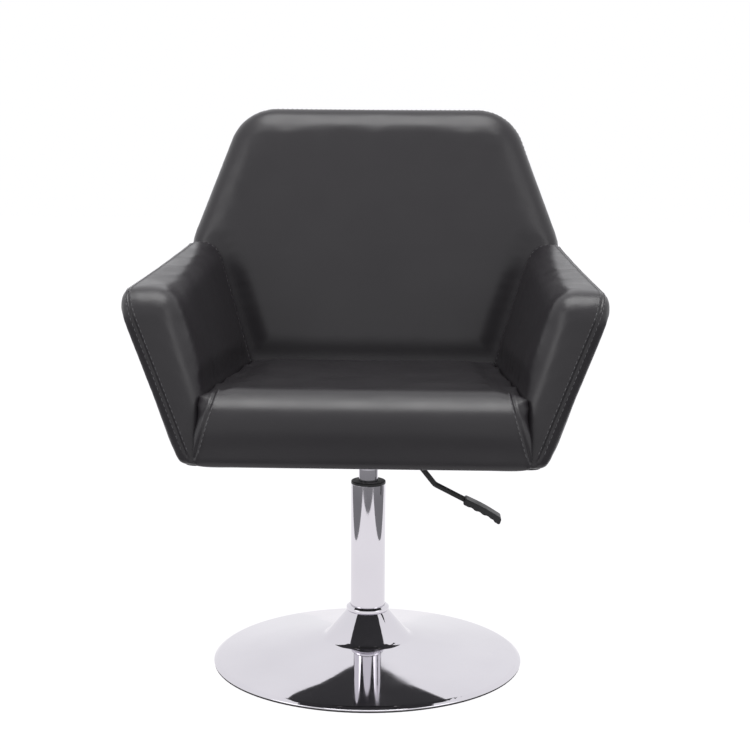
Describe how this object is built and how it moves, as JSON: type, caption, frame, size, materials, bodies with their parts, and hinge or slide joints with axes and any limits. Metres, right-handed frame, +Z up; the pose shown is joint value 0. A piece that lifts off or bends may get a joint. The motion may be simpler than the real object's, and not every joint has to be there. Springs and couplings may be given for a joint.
{
  "type": "styling chair",
  "caption": "Salon styling chair: a black upholstered tub with a leaning back and splayed arms, on a gas lift with a side lever and a round chrome trumpet base.",
  "frame": {"origin": "on the floor, on the axis of the column", "axes": "+Z up along the column, -Y the way the sitter faces, +X the side of the height lever"},
  "size_m": [0.6452, 0.5775, 0.796],
  "materials": {
    "chrome": "polished",
    "cast_iron": "matte",
    "zinc_steel": "satin",
    "bearing_steel": "polished",
    "black_paint": "satin",
    "alloy": "satin",
    "black_rubber": "matte",
    "black_plastic": "satin",
    "cage_plastic": "satin",
    "plywood": "matte",
    "foam": "matte",
    "leathercloth": "satin",
    "dust_cloth": "matte"
  },
  "bodies": {
    "base": {"floor_ring": "black_rubber", "base_cover": "chrome", "base_plate": "cast_iron", "column_ring": "chrome", "hub_socket": "zinc_steel", "hub_washers": "zinc_steel", "hub_bolts": "zinc_steel", "stand_tube": "chrome", "guide_bush": "black_plastic", "lower_race": "bearing_steel"},
    "ball_cage": {"bearing_cage": "cage_plastic", "bearing_balls": "bearing_steel"},
    "rod": {"piston_rod": "bearing_steel", "upper_race": "bearing_steel", "rod_washer": "zinc_steel", "rod_clip": "zinc_steel", "piston": "alloy", "piston_seal": "black_rubber", "bump_stop": "black_rubber"},
    "seat": {"gas_cylinder": "chrome", "rod_seal": "black_rubber", "rod_guide": "black_plastic", "valve_block": "alloy", "seat_socket": "black_paint", "seat_plate": "black_paint", "seat_bolts": "zinc_steel", "seat_washers": "zinc_steel", "t_nuts": "zinc_steel", "lever_bush": "black_plastic", "frame_bolts": "zinc_steel", "back_board": "plywood", "back_foam": "foam", "back_front_cover": "leathercloth", "back_rear_cover": "leathercloth", "arm_board_right": "plywood", "arm_board_left": "plywood", "arm_foam_right": "foam", "arm_foam_left": "foam", "arm_outer_cover_right": "leathercloth", "arm_outer_cover_left": "leathercloth", "arm_inner_cover_right": "leathercloth", "arm_inner_cover_left": "leathercloth", "seat_board": "plywood", "seat_foam": "foam", "seat_cover": "leathercloth", "dust_cover": "dust_cloth"},
    "lever": {"lever_rod": "black_paint", "lever_paddle": "black_plastic"},
    "valve_pin": {"valve_pin": "bearing_steel"}
  },
  "joints": [
    {"name": "seat_swivel", "type": "hinge", "parent": "base", "child": "rod", "pos_m": [0, 0, 0.0205], "axis": [0, 0, 1], "continuous": true},
    {"name": "cage_turn", "type": "hinge", "parent": "base", "child": "ball_cage", "pos_m": [0, 0, 0.019], "axis": [0, 0, 1], "continuous": true},
    {"name": "seat_height", "type": "slide", "parent": "rod", "child": "seat", "axis": [0, 0, 1], "range_m": [-0.02, 0.1]},
    {"name": "lever_lift", "type": "hinge", "parent": "seat", "child": "lever", "pos_m": [0.05125, 0, 0.312], "axis": [0, -1, 0], "range_deg": [0, 5], "stiffness_Nm_per_rad": 4, "springref_deg": -5.73},
    {"name": "valve_press", "type": "slide", "parent": "seat", "child": "valve_pin", "axis": [0, 0, -1], "range_m": [0, 0.0046]}
  ],
  "couplings": [
    {"joint": "cage_turn", "follows": "seat_swivel", "ratio": 0.5},
    {"joint": "valve_press", "follows": "lever_lift", "m_per_rad": 0.0504}
  ]
}
